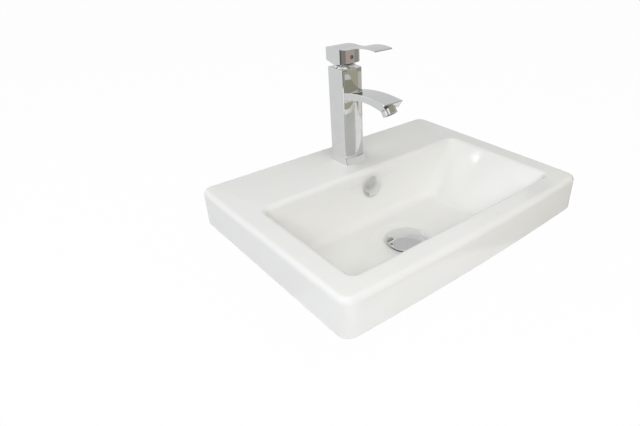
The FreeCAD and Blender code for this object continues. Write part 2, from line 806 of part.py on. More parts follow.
def click_spring(low, high):
    """Coil spring between the guide's floor and the plunger, as arcs of a quarter turn."""
    wire, radius = value("spring_wire") / 2, value("spring_radius")
    foot, rise = value(low) + wire, value(high) - value(low) - 2 * wire
    quarters = round(value("spring_turns")) * 4

    def coil(step):
        turn = step * math.pi / 2
        return Vector(radius * math.cos(turn), radius * math.sin(turn), foot + rise * step / quarters)

    arcs = [Part.Arc(coil(step), coil(step + 0.5), coil(step + 1)).toShape() for step in range(quarters)]
    path = Part.Wire(arcs)
    turns = [math.radians(60 * step) for step in range(7)]
    section = Part.makePolygon([coil(0) + Vector(math.cos(turn), 0, math.sin(turn)) * wire for turn in turns])
    spring = doc.addObject("Part::Feature", "waste_click_spring")
    spring.Shape = path.makePipeShell([section], True, False)
    place(spring, y="waste_y", z=DISH)
    SUBPARTS.append(spring)


def column_plan(margin, nose="0"):
    """Plan of the column, or of its plinth: straight sides, a bowed front, wider at the back."""
    front_half = f"(column_front_width / 2 + {margin})"
    back_half = f"(column_back_width / 2 + {margin})"
    front, back = f"-column_front - {margin} - {nose}", f"column_back + {margin}"
    return [
        (f"-{front_half}", front, bow_radius(f"2 * {front_half}", "column_bow"), 1),
        (front_half, front), (back_half, back), (f"-{back_half}", back),
    ]


MIXER = {"y": "tap_y", "z": "apron_height"}
OUTLET_Y = "outlet_setback - spout_reach"
OUTLET_Z = "column_top - outlet_drop"
PORTS = [("port_x", "-port_y", "port_radius"), ("-port_x", "-port_y", "port_radius"),
         ("0", "outlet_port_y", "port_radius")]


def along_outlet(distance):
    """A point on the outlet's axis, counted upwards from the aerator's mouth."""
    return {
        "y": f"{OUTLET_Y} + ({distance}) * sin(outlet_tilt)",
        "z": f"{OUTLET_Z} + ({distance}) * cos(outlet_tilt)",
        "tilt": "-outlet_tilt",
    }


def drill(body, name, start, stop):
    """Waterway in the plane x = 0 between two points (y, z)."""
    run, climb = f"(({stop[0]}) - ({start[0]}))", f"(({stop[1]}) - ({start[1]}))"
    rod(body, name, "waterway_radius", f"sqrt({run} ^ 2 + {climb} ^ 2)", True, y=start[0], z=start[1],
        tilt=f"atan2(-{run}; {climb})")


def is_spout_root(edge):
    """True for the edge where the spout's underside meets the column's front."""
    box = edge.BoundBox
    across = box.XLength > value("spout_width") - NEAR
    ahead = abs(box.YMin + value("column_front + column_bow")) < NEAR
    return across and ahead and box.ZMax < value("column_top - (spout_root_drop + spout_foot_drop) / 2")


def is_spout_edge(edge):
    """True for the two long edges at the sides of the spout's top."""
    box = edge.BoundBox
    beside = abs(abs(middle(edge).x) - value("spout_width / 2")) < NEAR
    along = box.YLength > value("spout_reach / 2")
    return beside and along and box.ZMax > value("column_top - spout_root_drop")


def mixer_body():
    """Column and spout in one casting, with the cartridge chamber and the waterways."""
    body = new_body("mixer_body", **MIXER)
    plan = closed_profile(body, "column_plan", "XY_Plane", column_plan("0"), "plinth_height")
    grow(body, "column", plan, "column_top - plinth_height")
    round_edges(body, "column_corners", upright, "column_corner")
    round_edges(body, "column_top_bevel", at_height("column_top"), "column_bevel")
    tip, root = "-spout_reach", "spout_root_inset - column_front"
    end = "spout_end_setback - spout_reach"
    spout = closed_profile(body, "spout_side", "YZ_Plane", [
        (tip, "column_top - spout_tip_drop"),
        (tip, "column_top - spout_tip_drop - spout_lip"),
        (end, "column_top - spout_end_drop", "spout_arch_radius", -1),
        (root, "column_top - spout_foot_drop"),
        (root, "column_top - spout_root_drop", "spout_top_radius", 1),
    ])
    grow(body, "spout", spout, "spout_width", midplane=True)
    round_edges(body, "spout_root", is_spout_root, "spout_root_round")
    round_edges(body, "spout_edges", is_spout_edge, "spout_edge_round")
    rod(body, "outlet", "outlet_radius", "outlet_length", False, **along_outlet("aerator_ring"))
    rod(body, "outlet_bore", "aerator_thread + thread_play",
        "aerator_thread_length + aerator_seal", True, **along_outlet("aerator_ring"))

    chamber = circles(body, "chamber_circle", "XY_Plane", [("0", "0", "chamber_radius")], "column_top")
    carve(body, "chamber", chamber, "chamber_depth")
    nut_bore = circles(body, "nut_bore_circle", "XY_Plane", [("0", "0", "nut_bore_radius")], "column_top")
    carve(body, "nut_bore", nut_bore, "nut_bore_depth")
    inlets = circles(body, "inlet_circles", "XY_Plane",
                     [("inlet_x", "-inlet_y", "inlet_radius"), ("-inlet_x", "-inlet_y", "inlet_radius")],
                     "plinth_height")
    carve_up(body, "inlets", inlets, "inlet_depth")
    risers = circles(body, "riser_circles", "XY_Plane", PORTS[:2], "plinth_height + inlet_depth / 2")
    carve_up(body, "risers", risers, f"{CHAMBER_FLOOR} - plinth_height - inlet_depth / 2")
    stud_hole = circles(body, "stud_hole_circle", "XY_Plane",
                        [("0", "fixing_stud_y", "fixing_stud_radius + slide_play")], "plinth_height")
    carve_up(body, "stud_hole", stud_hole, "fixing_stud_seat")
    start = ("outlet_port_y", f"{CHAMBER_FLOOR} - waterway_start_drop")
    bend = ("waterway_bend_setback - spout_reach", "column_top - waterway_bend_drop")
    mouth = along_outlet("aerator_ring + aerator_thread_length")
    drill(body, "outlet_port", ("outlet_port_y", CHAMBER_FLOOR), start)
    drill(body, "waterway_up", start, bend)
    drill(body, "waterway_down", bend, (mouth["y"], mouth["z"]))


def is_plinth_corner(edge):
    """True for the slanting edges at the plinth's four corners."""
    full_height = edge.BoundBox.ZLength > value("plinth_height") - NEAR
    return full_height and abs(middle(edge).x) > value("plinth_bore") + NEAR


def mixer_base():
    """Plinth under the column, its seal and what clamps the mixer under the deck."""
    plinth = new_body("mixer_plinth", **MIXER)
    foot = closed_profile(plinth, "foot_plan", "XY_Plane", column_plan("plinth_margin", "plinth_nose"))
    top = closed_profile(plinth, "top_plan", "XY_Plane", column_plan("plinth_ledge"), "plinth_height")
    loft(plinth, "block", [foot, top], False)
    carve_up(plinth, "bore", circles(plinth, "bore_circle", "XY_Plane", [("0", "0", "plinth_bore")]),
             "plinth_height")
    groove = circles(plinth, "groove_circles", "XY_Plane",
                     [("0", "0", "base_seal_inner"), ("0", "0", "base_seal_outer")])
    carve_up(plinth, "groove", groove, "base_seal_depth")
    round_edges(plinth, "corners", is_plinth_corner, "column_corner")
    ring("mixer_base_seal", "base_seal_inner", "base_seal_outer", "0", "base_seal_depth", **MIXER)

    pad_foot = "-deck_thickness - clamp_pad_thickness"
    plate_foot = f"{pad_foot} - clamp_plate_thickness"
    clamp("mixer_clamp_pad", pad_foot, "clamp_pad_thickness")
    clamp("mixer_clamp_plate", plate_foot, "clamp_plate_thickness")
    stud_foot = f"{plate_foot} - fixing_nut_height - fixing_stud_tail"
    stud_top = "plinth_height + fixing_stud_seat"
    behind = {"y": "tap_y + fixing_stud_y", "z": "apron_height"}
    turned("mixer_fixing_stud", box_corners("0", "fixing_stud_radius", stud_foot, stud_top), **behind)
    nut = new_body("mixer_fixing_nut", **behind)
    nut_foot = f"{plate_foot} - fixing_nut_height"
    grow(nut, "nut", closed_profile(nut, "hexagon", "XY_Plane", hexagon("fixing_nut_flats"), nut_foot),
         "fixing_nut_height")
    thread = circles(nut, "thread_circle", "XY_Plane",
                     [("0", "0", "fixing_stud_radius + slide_play")], nut_foot)
    carve_up(nut, "thread", thread, "fixing_nut_height")


def clamp(label, foot, thickness):
    """Horseshoe under the deck: a disc with an open slot for the inlets and a hole for the stud."""
    body = new_body(label, **MIXER)
    disc = circles(body, "disc_circle", "XY_Plane", [("0", "0", "clamp_radius")], foot)
    grow(body, "disc", disc, thickness)
    half = "clamp_slot / 2"
    slot = closed_profile(body, "slot_outline", "XY_Plane",
                          box_corners(f"-{half}", half, "-2 * clamp_radius", "clamp_slot_y"), foot)
    carve_up(body, "slot", slot, thickness)
    hole = circles(body, "stud_circle", "XY_Plane",
                   [("0", "fixing_stud_y", "fixing_stud_radius + thread_play")], foot)
    carve_up(body, "stud_hole", hole, thickness)


def aerator():
    """Threaded ring at the outlet, the flow insert in it and the seal above."""
    spot = {"y": f"tap_y + {OUTLET_Y}", "z": f"apron_height + {OUTLET_Z}", "tilt": "-outlet_tilt"}
    top = "aerator_ring + aerator_thread_length"
    turned("aerator_housing", [
        ("aerator_lip_radius", "0"), ("outlet_radius", "0"), ("outlet_radius", "aerator_ring"),
        ("aerator_thread", "aerator_ring"), ("aerator_thread", top), ("aerator_bore", top),
        ("aerator_bore", "aerator_lip"), ("aerator_lip_radius", "aerator_lip"),
    ], **spot)
    insert = turned("aerator_insert",
                    box_corners("0", "aerator_bore - push_fit", "aerator_lip", top), **spot)
    hole = circles(insert, "hole_circle", "XY_Plane", [("0", "aerator_hole_circle", "aerator_hole")],
                   "aerator_lip")
    first = carve_up(insert, "hole", hole, "aerator_thread_length + aerator_ring")
    pattern = insert.newObject("PartDesign::PolarPattern", "hole_pattern")
    pattern.Originals = [first]
    pattern.Axis = (hole, ["N_Axis"])
    pattern.Angle = 360
    tie(pattern, "Occurrences", "aerator_holes")
    insert.Tip = pattern
    doc.recompute()
    ring("aerator_seal", "aerator_lip_radius", "aerator_thread", top, f"{top} + aerator_seal", **spot)


def cartridge():
    """Ceramic-disc cartridge: the fixed pieces, the turning guide and the sliding disc."""
    def ported(label, radius, foot, thickness):
        body = new_body(label, **MIXER)
        grow(body, "disc", circles(body, "disc_circle", "XY_Plane", [("0", "0", radius)], foot), thickness)
        carve_up(body, "ports", circles(body, "port_circles", "XY_Plane", PORTS, foot), thickness)

    ported("cartridge_gasket", CARTRIDGE, CHAMBER_FLOOR, "cartridge_gasket")
    ported("cartridge_base", CARTRIDGE, BASE_FOOT, "cartridge_base")
    ported("cartridge_fixed_disc", f"{SHELL_BORE} - cartridge_play", FIXED_DISC_FOOT, "disc_thickness")
    neck_hole = "(turn_neck_radius + turn_play)"
    turned("cartridge_shell", [
        (SHELL_BORE, FIXED_DISC_FOOT), (CARTRIDGE, FIXED_DISC_FOOT), (CARTRIDGE, SHOULDER),
        (neck_hole, SHOULDER), (neck_hole, f"{SHOULDER} - cartridge_roof"),
        (SHELL_BORE, f"{SHOULDER} - cartridge_roof"),
    ], **MIXER)
    turned("cartridge_nut", box_corners("turn_neck_radius + nut_bore_gap", "nut_bore_radius - thread_play",
                                        SHOULDER, f"{SHOULDER} + nut_height"), **MIXER)

    offset = {"y": "tap_y + disc_offset", "z": "apron_height"}
    disc = turned("cartridge_moving_disc",
                  box_corners("0", "moving_disc_radius", MOVING_DISC_FOOT, CARRIER_FOOT), **offset)
    mixing = circles(disc, "mixing_circle", "XY_Plane",
                     [("0", "mixing_y", "mixing_radius")], MOVING_DISC_FOOT)
    carve_up(disc, "mixing_hollow", mixing, "mixing_depth")
    carrier_top = f"{CARRIER_FOOT} + carrier_height"
    carrier = turned("cartridge_carrier",
                     box_corners("0", "moving_disc_radius", CARRIER_FOOT, carrier_top), **offset)
    socket = circles(carrier, "socket_circle", "XY_Plane",
                     [("0", "-disc_offset", "spindle_ball + ball_play")], carrier_top)
    carve(carrier, "socket", socket, "carrier_height - carrier_floor")

    roof = f"{SHOULDER} - cartridge_roof - turn_play"
    guide = turned("cartridge_turn_guide", [
        ("0", TURN_FOOT), (f"{SHELL_BORE} - turn_play", TURN_FOOT), (f"{SHELL_BORE} - turn_play", roof),
        ("turn_neck_radius", roof), ("turn_neck_radius", "column_top"), ("0", "column_top"),
    ], **MIXER)
    half = "(spindle_side / 2 + socket_play)"
    keep = "(spindle_side / 2 + swing_play)"
    upper = closed_profile(guide, "upper_slot_outline", "XY_Plane",
                           box_corners(f"-{half}", half, f"-{keep}", "swing_up"), PIVOT)
    carve_up(guide, "upper_slot", upper, "nut_bore_depth")
    lower = closed_profile(guide, "lower_slot_outline", "XY_Plane",
                           box_corners(f"-{half}", half, "-swing_down", keep), PIVOT)
    carve(guide, "lower_slot", lower, f"{PIVOT} - ({TURN_FOOT})")
    pin_hole = circles(guide, "pin_circle", "YZ_Plane", [("0", PIVOT, "pin_radius")])
    carve(guide, "pin_hole", pin_hole, "pin_length", midplane=True)
    pin = new_body("cartridge_pin", **MIXER)
    pin_end = circles(pin, "circle", "YZ_Plane", [("0", PIVOT, "pin_radius")])
    grow(pin, "pin", pin_end, "pin_length", midplane=True)

    collar_curve = ("collar_radius", "column_top", "collar_curve", 1)
    turned("mixer_collar", [
        ("collar_bore", "column_top"), collar_curve, ("collar_top_radius", "column_top + collar_height"),
        ("collar_bore", "column_top + collar_height"),
    ], **MIXER)


def spindle():
    """Square lever spindle with its pivot hole and the ball that pushes the disc carrier."""
    ball = f"{PIVOT} - spindle_drop"
    shoulder = f"{PIVOT} - spindle_shoulder"
    join = "sqrt(spindle_ball ^ 2 - spindle_neck ^ 2)"
    body = turned("cartridge_spindle", [
        ("0", f"{ball} - spindle_ball", "spindle_ball", 1),
        ("spindle_ball", ball, "spindle_ball", 1),
        ("spindle_neck", f"{ball} + {join}"), ("spindle_neck", f"{shoulder} + spindle_neck"),
        ("0", f"{shoulder} + spindle_neck"),
    ], **MIXER)
    side = "spindle_side / 2"
    square = closed_profile(body, "square", "XY_Plane",
                            box_corners(f"-{side}", side, f"-{side}", side), shoulder)
    grow(body, "shank", square, f"{SOCKET_ROOF} - socket_slack - ({shoulder})")
    hole = circles(body, "pin_circle", "YZ_Plane", [("0", PIVOT, "pin_radius + pin_play")])
    carve(body, "pin_hole", hole, "2 * spindle_side", midplane=True)


def lever_top(body):
    """Side view of the lever's top: a crest over the block, a dip and a paddle, in tangent arcs."""
    sketch = new_sketch(body, "lever_side", "YZ_Plane")
    named = [
        ("lever_back", LEVER_BACK_TOP),
        ("-lever_dip", f"{LEVER_BACK_TOP} + lever_dip_climb"),
        ("-lever_rise", f"{LEVER_BACK_TOP} + lever_rise_climb"),
        ("-lever_reach", f"{LEVER_BACK_TOP} + lever_tip_climb"),
    ]
    back, dip, rise, tip = [Vector(value(u), value(v), 0) for u, v in named]
    crest_centre = arc_centre(back, dip, value("lever_crest_radius"), 1)
    dip_centre = next_centre(crest_centre, dip, rise)
    paddle_centre = next_centre(dip_centre, rise, tip)
    thickness = value("paddle_thickness")
    tip_low = tip - Vector(0, thickness, 0)
    inner_reach = (tip_low - paddle_centre).Length
    rise_low = paddle_centre + (rise - paddle_centre).normalize() * inner_reach
    front = value("1 - lever_front")
    dip_reach = (rise_low - dip_centre).Length
    front_low = Vector(front, dip_centre.y - math.sqrt(dip_reach ** 2 - (front - dip_centre.x) ** 2), 0)
    block = value(f"{LEVER_BACK_TOP} - lever_roof / 2")
    foot = [Vector(front, block, 0), Vector(back.x, block, 0)]
    ends = [add_arc(sketch, crest_centre, back, dip), add_arc(sketch, dip_centre, dip, rise),
            add_arc(sketch, paddle_centre, rise, tip)]
    sketch.addGeometry(Part.LineSegment(tip, tip_low))
    ends.append((START, END))
    ends.append(add_arc(sketch, paddle_centre, tip_low, rise_low))
    ends.append(add_arc(sketch, dip_centre, rise_low, front_low))
    for first, last in zip([front_low] + foot, foot + [back]):
        sketch.addGeometry(Part.LineSegment(first, last))
        ends.append((START, END))
    smooth = {0, 1, 4}
    for index, own in enumerate(ends):
        following = (index + 1) % len(ends)
        kind = "Tangent" if index in smooth else "Coincident"
        sketch.addConstraint(Sketcher.Constraint(kind, index, own[1], following, ends[following][0]))
    for index, (u, v) in enumerate(named):
        locate(sketch, index, ends[index][0], u, v)
    dimension(sketch, "lever_crest_radius", "Radius", 0)
    sketch.addConstraint(Sketcher.Constraint("Coincident", 4, CENTRE, 2, CENTRE))
    sketch.addConstraint(Sketcher.Constraint("Coincident", 5, CENTRE, 1, CENTRE))
    sketch.addConstraint(Sketcher.Constraint("Vertical", 3))
    dimension(sketch, "paddle_thickness", "Distance", 3)
    locate(sketch, 6, START, u="1 - lever_front")
    locate(sketch, 7, START, "1 - lever_front", f"{LEVER_BACK_TOP} - lever_roof / 2")
    locate(sketch, 8, START, "lever_back", f"{LEVER_BACK_TOP} - lever_roof / 2")
    return sketch


def next_centre(centre, joint, last):
    """Centre of the arc that leaves a joint tangent to the arc before it and ends at last."""
    normal = (joint - centre).normalize()
    chord = last - joint
    return joint + normal * (chord.dot(chord) / (2 * normal.dot(chord)))


def lever():
    """Lever handle with its spindle socket, the grub screw that grips it and the index plug."""
    body = new_body("lever_handle", **MIXER)
    half = "lever_width / 2"
    plan = closed_profile(body, "block_plan", "XY_Plane", [
        (f"-{half}", "-lever_front", bow_radius("lever_width", "lever_bow"), 1),
        (half, "-lever_front"), (half, "lever_back"), (f"-{half}", "lever_back"),
    ], LEVER_FOOT)
    grow(body, "block", plan, "lever_back_height + lever_dip_climb - paddle_thickness / 2")
    crest = closed_profile(body, "crest_outline", "YZ_Plane", [
        ("lever_back", LEVER_BACK_TOP, "lever_crest_radius", 1),
        ("-lever_dip", f"{LEVER_BACK_TOP} + lever_dip_climb"),
        ("-lever_dip", f"{LEVER_BACK_TOP} + lever_tip_climb"),
        ("lever_back", f"{LEVER_BACK_TOP} + lever_tip_climb"),
    ])
    carve(body, "crest", crest, "2 * lever_width", midplane=True)
    grow(body, "top", lever_top(body), "lever_width", midplane=True)
    tip = "lever_tip_width / 2"
    for name, sign in (("left_taper", "-"), ("right_taper", "")):
        taper = closed_profile(body, f"{name}_outline", "XY_Plane", [
            (f"{sign}{half}", "-lever_front - lever_bow"), (f"{sign}{tip}", "-lever_reach"),
            (f"{sign}lever_width", "-lever_reach"), (f"{sign}lever_width", "-lever_front - lever_bow"),
        ], LEVER_FOOT)
        carve_up(body, name, taper, "2 * (lever_back_height + lever_tip_climb)")
    round_edges(body, "block_corners", upright, "lever_corner")
    slopes = (("wedge", "lever_back", "lever_wedge"), ("nose", "-lever_front - lever_bow", "lever_nose"))
    for name, end, climb in slopes:
        outline = closed_profile(body, f"{name}_outline", "YZ_Plane", [
            ("lever_keel", LEVER_FOOT), (end, LEVER_FOOT), (end, f"{LEVER_FOOT} + {climb}"),
        ])
        carve(body, name, outline, "2 * lever_width", midplane=True)
    wall, boss = f"({half} - lever_wall)", "socket_boss / 2"
    near, far = "lever_wall - lever_front", "lever_back - lever_wall"
    cavity = closed_profile(body, "cavity_outline", "XY_Plane", [
        (f"-{wall}", near), (f"-{boss}", near), (f"-{boss}", boss), (boss, boss), (boss, near), (wall, near),
        (wall, far), (f"-{wall}", far),
    ], LEVER_FOOT)
    carve_up(body, "cavity", cavity, "lever_back_height - lever_roof")
    under_boss = closed_profile(body, "under_boss_outline", "XY_Plane",
                                box_corners(f"-{wall}", wall, near, boss), LEVER_FOOT)
    carve_up(body, "under_boss", under_boss, "socket_foot")
    side = "(spindle_side / 2 + socket_play)"
    socket = closed_profile(body, "socket_outline", "XY_Plane",
                            box_corners(f"-{side}", side, f"-{side}", side), f"{LEVER_FOOT} + socket_foot")
    carve_up(body, "socket", socket, "socket_depth")
    grub_z = f"{LEVER_FOOT} + grub_rise"
    front = "-lever_front - lever_bow"
    rod(body, "grub_hole", "grub_radius + slide_play", "lever_front + lever_bow", True, z=grub_z, tilt="90")
    rod(body, "plug_hole", "plug_radius + slide_play", "plug_depth + lever_bow", True,
        y=f"{front} + plug_depth", z=grub_z, tilt="90")

    deep = {"y": f"tap_y - {side}", "z": f"apron_height + {grub_z}", "tilt": "90"}
    turned("lever_grub_screw", box_corners("0", "grub_radius", "0", "grub_length"), **deep)
    shallow = {"y": f"tap_y + {front} + plug_depth", "z": f"apron_height + {grub_z}", "tilt": "90"}
    turned("lever_index_plug", [
        ("0", "0"), ("plug_radius", "0"),
        ("plug_radius", "plug_depth", bow_radius("2 * plug_radius", "plug_stand"), 1),
        ("0", "plug_depth + plug_stand"),
    ], **shallow)


def check_and_write():
    """Stops on any failed feature or bad shape, then writes one file for each sub-part."""
    doc.recompute()
    for item in doc.Objects:
        if "Invalid" in item.State or "Error" in item.State:
            raise RuntimeError(f"{item.Label} failed: {item.State}")
    for item in SUBPARTS:
        if item.Shape.isNull() or not item.Shape.isValid() or len(item.Shape.Solids) != 1:
            raise RuntimeError(f"{item.Label} is not one valid solid")
    os.makedirs("parts", exist_ok=True)
    for item in SUBPARTS:
        item.Shape.exportStep(f"parts/{item.Label}.step")


ceramic_basin()
overflow_cover()
click_waste()
mixer_body()
mixer_base()
aerator()
cartridge()
spindle()
lever()
check_and_write()
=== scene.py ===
"""Studio scene of a cabinet basin with its mixer, overflow cover and click waste."""

import json
import logging
import math
from dataclasses import dataclass, field
from enum import Enum
from typing import Optional, Sequence

import bmesh
import bpy
from mathutils import Matrix, Vector

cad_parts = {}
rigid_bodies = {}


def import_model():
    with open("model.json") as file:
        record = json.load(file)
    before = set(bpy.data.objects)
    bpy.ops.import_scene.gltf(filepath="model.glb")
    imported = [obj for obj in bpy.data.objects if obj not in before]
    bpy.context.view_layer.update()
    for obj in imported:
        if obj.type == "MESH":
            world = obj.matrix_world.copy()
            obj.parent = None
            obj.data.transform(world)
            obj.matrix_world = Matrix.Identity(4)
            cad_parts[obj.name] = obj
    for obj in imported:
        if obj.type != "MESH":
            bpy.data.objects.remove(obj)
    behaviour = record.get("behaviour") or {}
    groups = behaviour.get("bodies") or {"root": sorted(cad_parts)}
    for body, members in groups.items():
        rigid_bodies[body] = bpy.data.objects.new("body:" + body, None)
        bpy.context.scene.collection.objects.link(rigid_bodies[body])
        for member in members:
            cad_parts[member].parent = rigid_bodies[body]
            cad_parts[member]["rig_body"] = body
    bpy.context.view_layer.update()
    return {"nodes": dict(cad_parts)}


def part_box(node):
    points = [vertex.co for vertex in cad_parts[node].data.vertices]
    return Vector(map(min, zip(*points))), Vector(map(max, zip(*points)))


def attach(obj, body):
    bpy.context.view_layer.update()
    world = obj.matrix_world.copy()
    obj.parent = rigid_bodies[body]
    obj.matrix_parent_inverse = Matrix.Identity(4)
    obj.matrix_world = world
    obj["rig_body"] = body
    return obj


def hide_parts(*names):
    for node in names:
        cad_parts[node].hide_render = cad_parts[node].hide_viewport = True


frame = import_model()
LOG = logging.getLogger("cabinet_basin")

Colour = tuple[float, float, float]
Point = tuple[float, float, float]
Pair = tuple[float, float]
Socket = bpy.types.NodeSocket

# Distances in metres below which heights count as equal and corners are welded.
NEAR = 0.00001
WELD = NEAR / 10

DOWN: Point = (0.0, 0.0, -1.0)
FACING = "facing"

# Where a finish's clouds of colour and of gloss begin and end, in the noise's values.
COLOUR_CLOUDS: Pair = (0.35, 0.65)
GLOSS_CLOUDS: Pair = (0.3, 0.7)
GLOSS_FINENESS = 3.1
GLOSS_DETAIL = 5.0


def placed(name: str, data: bpy.types.ID) -> bpy.types.Object:
    """Puts new data into the scene as an object.

    Args:
        name: The object's name.
        data: A mesh, light or camera.

    Returns:
        The object.
    """
    thing = bpy.data.objects.new(name, data)
    bpy.context.scene.collection.objects.link(thing)
    return thing


def plan_centre(low: Sequence[float], high: Sequence[float]) -> Pair:
    """Middle of a box as seen from above, from its lowest and highest corners."""
    return (low[0] + high[0]) / 2, (low[1] + high[1]) / 2


def borders(shape: bmesh.types.BMesh) -> list[bmesh.types.BMEdge]:
    """Edges of a mesh that have a face on one side only."""
    return [edge for edge in shape.edges if len(edge.link_faces) == 1]


class Grain(Enum):
    """Fine relief of a finish."""

    POLISHED = "polished"
    ORANGE_PEEL = "orange_peel"
    MOULDED = "moulded"
    TURNED = "turned"
    BRUSHED = "brushed"


@dataclass(frozen=True)
class GrainNoise:
    """The noise that draws a grain: marks per metre, finer octaves and a factor for each axis."""

    scale: float
    detail: float
    stretch: Optional[Point] = None


GRAIN_NOISE: dict[Grain, GrainNoise] = {
    Grain.POLISHED: GrainNoise(45.0, 0.0),
    Grain.ORANGE_PEEL: GrainNoise(190.0, 1.0),
    Grain.MOULDED: GrainNoise(2600.0, 2.0),
    Grain.TURNED: GrainNoise(900.0, 1.0, (0.02, 0.02, 4.0)),
    Grain.BRUSHED: GrainNoise(700.0, 2.0, (0.05, 3.0, 3.0)),
}


class NodeTree:
    """Thin layer over a material's nodes that keeps the finishes short."""

    def __init__(self, material: bpy.types.Material) -> None:
        """Empties the material's tree and adds the shader and its output.

        Args:
            material: The material whose nodes are laid out.
        """
        material.use_nodes = True
        self.tree = material.node_tree
        self.tree.nodes.clear()
        self.shader = self.add("ShaderNodeBsdfPrincipled")
        self.output = self.add("ShaderNodeOutputMaterial")
        self.join(self.shader.outputs["BSDF"], self.output.inputs["Surface"])
        self.place = self.add("ShaderNodeTexCoord").outputs["Object"]

    def add(self, kind: str) -> bpy.types.Node:
        """Adds a node, by Blender's name of its kind."""
        return self.tree.nodes.new(kind)

    def join(self, source: Socket, target: Socket) -> None:
        """Links one socket to another."""
        self.tree.links.new(source, target)

    def mapped(self, scale: Point = (1.0, 1.0, 1.0), shift: Point = (0.0, 0.0, 0.0)) -> Socket:
        """Object coordinates that are scaled and then shifted.

        Args:
            scale: Factor for each axis.
            shift: Metres to add to each axis.

        Returns:
            The vector socket to feed a texture.
        """
        mapping = self.add("ShaderNodeMapping")
        mapping.inputs["Scale"].default_value = scale
        mapping.inputs["Location"].default_value = shift
        self.join(self.place, mapping.inputs["Vector"])
        return mapping.outputs["Vector"]

    def noise(self, scale: float, detail: float = 3.0, vector: Optional[Socket] = None) -> Socket:
        """Cloudy values from 0 to 1.

        Args:
            scale: Clouds per metre.
            detail: Octaves of finer clouds.
            vector: Coordinates other than the object's own.

        Returns:
            The value socket.
        """
        node = self.add("ShaderNodeTexNoise")
        node.inputs["Scale"].default_value = scale
        node.inputs["Detail"].default_value = detail
        self.join(vector or self.place, node.inputs["Vector"])
        return node.outputs["Fac"]

    def ramp(self, value: Socket, low: float, high: float,
             floor: float = 0.0, roof: float = 1.0) -> Socket:
        """Maps a range of values to another one, clamped.

        Args:
            value: The socket to map.
            low: Value that becomes floor.
            high: Value that becomes roof.
            floor: Result at and below low.
            roof: Result at and above high.

        Returns:
            The mapped value socket.
        """
        node = self.add("ShaderNodeMapRange")
        ends = {"From Min": low, "From Max": high, "To Min": floor, "To Max": roof}
        for name, number in ends.items():
            node.inputs[name].default_value = number
        self.join(value, node.inputs["Value"])
        return node.outputs["Result"]

    def math(self, operation: str, first: Socket, second: Socket | float = 0.0) -> Socket:
        """Joins two values by one operation.

        Args:
            operation: Blender's name of the operation.
            first: The first value.
            second: The second value, a socket or a number.

        Returns:
            The result socket.
        """
        node = self.add("ShaderNodeMath")
        node.operation = operation
        self.join(first, node.inputs[0])
        if isinstance(second, (int, float)):
            node.inputs[1].default_value = second
        else:
            self.join(second, node.inputs[1])
        return node.outputs["Value"]

    def product(self, *values: Socket) -> Socket:
        """Several values multiplied together.

        Args:
            values: The sockets to multiply.

        Returns:
            The product's socket.
        """
        total = values[0]
        for value in values[1:]:
            total = self.math("MULTIPLY", total, value)
        return total

    def blend(self, share: Socket, first: Colour | Socket, second: Colour | Socket) -> Socket:
        """Colour between two colours.

        Args:
            share: How much of the second colour shows.
            first: Colour at share 0, fixed or from a socket.
            second: Colour at share 1, fixed or from a socket.

        Returns:
            The colour socket.
        """
        node = self.add("ShaderNodeMix")
        node.data_type = "RGBA"
        for name, colour in (("A", first), ("B", second)):
            if isinstance(colour, tuple):
                node.inputs[name].default_value = (*colour, 1.0)
            else:
                self.join(colour, node.inputs[name])
        self.join(share, node.inputs["Factor"])
        return node.outputs["Result"]

    def axis(self, vector: Socket, letter: str) -> Socket:
        """One component of a vector.

        Args:
            vector: The vector's socket.
            letter: X, Y or Z.

        Returns:
            The value socket.
        """
        node = self.add("ShaderNodeSeparateXYZ")
        self.join(vector, node.inputs["Vector"])
        return node.outputs[letter]

    def length(self, first: Socket, second: Socket) -> Socket:
        """Distance from the origin in a plane, from two coordinates."""
        squares = [self.math("POWER", value, 2.0) for value in (first, second)]
        return self.math("SQRT", self.math("ADD", *squares))

    def normal(self) -> Socket:
        """The surface's direction along the frame's axes."""
        return self.add("ShaderNodeNewGeometry").outputs["Normal"]

    def pointiness(self) -> Socket:
        """How sharply the surface bends outwards, 0.5 where it is flat."""
        return self.add("ShaderNodeNewGeometry").outputs["Pointiness"]

    def emboss(self, height: Socket, depth: float) -> None:
        """Adds relief to the shader, on top of any relief that it has.

        Args:
            height: Relief from 0 to 1.
            depth: Depth of the relief in metres.
        """
        bump = self.add("ShaderNodeBump")
        bump.inputs["Distance"].default_value = depth
        self.join(height, bump.inputs["Height"])
        below = self.shader.inputs["Normal"]
        if below.is_linked:
            self.join(below.links[0].from_socket, bump.inputs["Normal"])
        self.join(bump.outputs["Normal"], below)


